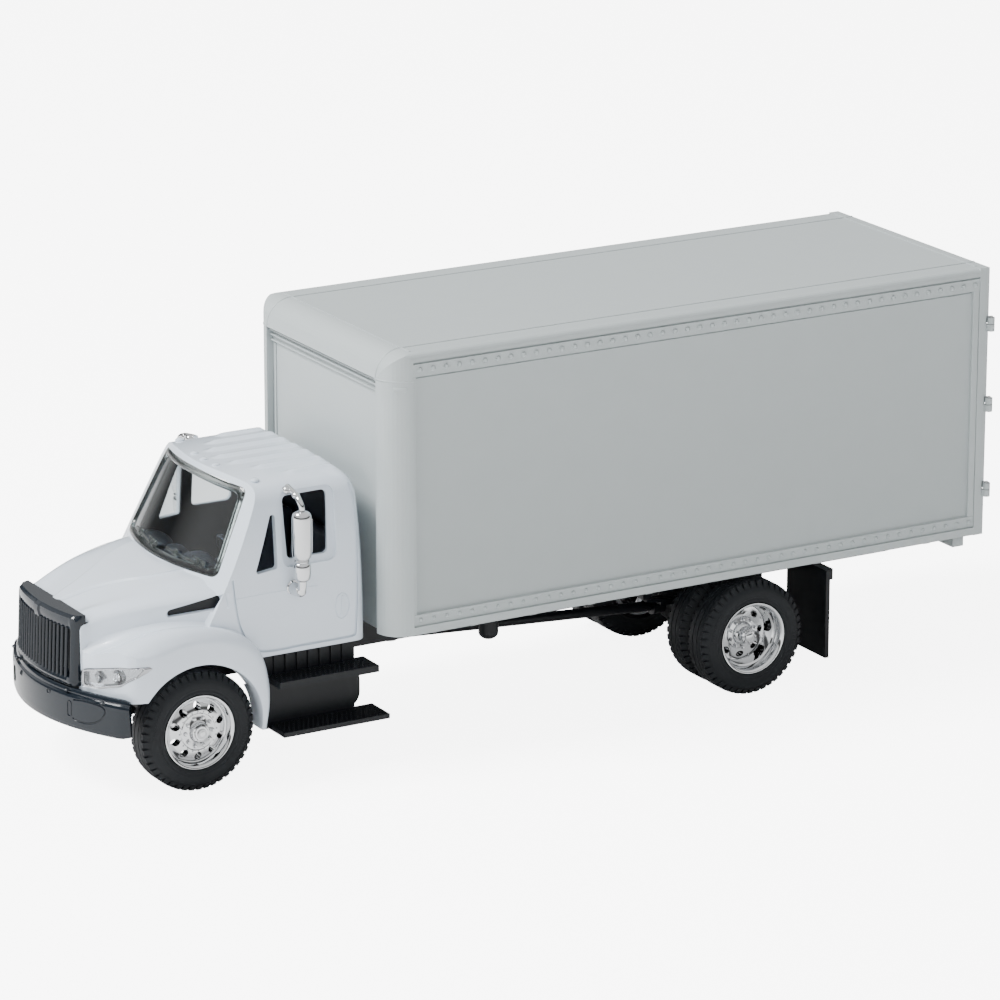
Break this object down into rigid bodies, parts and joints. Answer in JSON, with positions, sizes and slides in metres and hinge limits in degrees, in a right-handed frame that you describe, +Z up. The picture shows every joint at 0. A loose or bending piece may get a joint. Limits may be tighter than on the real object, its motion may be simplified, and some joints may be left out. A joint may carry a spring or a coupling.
{
  "type": "model box truck",
  "caption": "Scale model of a bonneted box truck with rolling wheels, dual rear tyres and a van box whose rear swing doors open.",
  "frame": {"origin": "on the ground under the middle of the truck: the bottom centre of its bounding box", "axes": "+Z up, -Y forward to the bumper, +X to the driver's (left) side"},
  "size_m": [0.0604, 0.2132, 0.0854],
  "materials": {
    "cab_paint": "high gloss white paint over die-cast metal",
    "clear_glazing": "clear moulded plastic glazing",
    "clear_lens": "clear moulded lens",
    "smoked_chrome": "dark tinted plating",
    "bright_chrome": "bright vacuum plating",
    "box_plastic": "satin moulded plastic, pale grey",
    "chassis_plastic": "satin black moulded plastic",
    "interior_plastic": "satin black moulded plastic",
    "tyre_rubber": "matte rubber",
    "steel": "plain steel",
    "lamp_red": "clear red plastic"
  },
  "bodies": {
    "truck": {"cab_body": "cab_paint", "windshield": "clear_glazing", "seat_tub": "interior_plastic", "dashboard": "interior_plastic", "steering_wheel": "interior_plastic", "grille": "smoked_chrome", "front_bumper": "smoked_chrome", "headlight_left": "bright_chrome", "headlight_right": "bright_chrome", "headlight_lens_left": "clear_lens", "headlight_lens_right": "clear_lens", "hood_vent_left": "chassis_plastic", "hood_vent_right": "chassis_plastic", "mirror_left": "bright_chrome", "mirror_right": "bright_chrome", "chassis_frame": "chassis_plastic", "front_axle_beam": "chassis_plastic", "front_springs": "chassis_plastic", "driveline": "chassis_plastic", "rear_axle_housing": "chassis_plastic", "rear_springs": "chassis_plastic", "air_dryer": "chassis_plastic", "step_left": "chassis_plastic", "step_right": "chassis_plastic", "mud_flap_left": "chassis_plastic", "mud_flap_right": "chassis_plastic", "chassis_screws": "steel", "box_floor": "box_plastic", "box_side_left": "box_plastic", "box_side_right": "box_plastic", "box_roof": "box_plastic", "box_front": "box_plastic", "rear_frame": "box_plastic", "rear_bar": "box_plastic", "tail_lamps": "lamp_red", "hinge_pins": "steel"},
    "front_wheelset": {"front_axle": "steel", "front_wheel_left": "bright_chrome", "front_wheel_right": "bright_chrome", "front_tyre_left": "tyre_rubber", "front_tyre_right": "tyre_rubber"},
    "rear_wheelset": {"rear_axle": "steel", "rear_wheel_left": "bright_chrome", "rear_wheel_right": "bright_chrome", "rear_tyre_left_outer": "tyre_rubber", "rear_tyre_left_inner": "tyre_rubber", "rear_tyre_right_outer": "tyre_rubber", "rear_tyre_right_inner": "tyre_rubber"},
    "door_left": {"rear_door_left": "box_plastic", "lock_rods_left": "box_plastic"},
    "door_right": {"rear_door_right": "box_plastic", "lock_rods_right": "box_plastic"}
  },
  "joints": [
    {"name": "front_wheels_spin", "type": "hinge", "parent": "truck", "child": "front_wheelset", "pos_m": [0, -0.0816, 0.0125], "axis": [1, 0, 0], "continuous": true},
    {"name": "rear_wheels_spin", "type": "hinge", "parent": "truck", "child": "rear_wheelset", "pos_m": [0, 0.0464, 0.0125], "axis": [1, 0, 0], "continuous": true},
    {"name": "left_door_hinge", "type": "hinge", "parent": "truck", "child": "door_left", "pos_m": [0.0294, 0.1058, 0.0558], "axis": [0, 0, -1], "range_deg": [0, 255]},
    {"name": "right_door_hinge", "type": "hinge", "parent": "truck", "child": "door_right", "pos_m": [-0.0294, 0.1058, 0.0558], "axis": [0, 0, 1], "range_deg": [0, 255]}
  ]
}
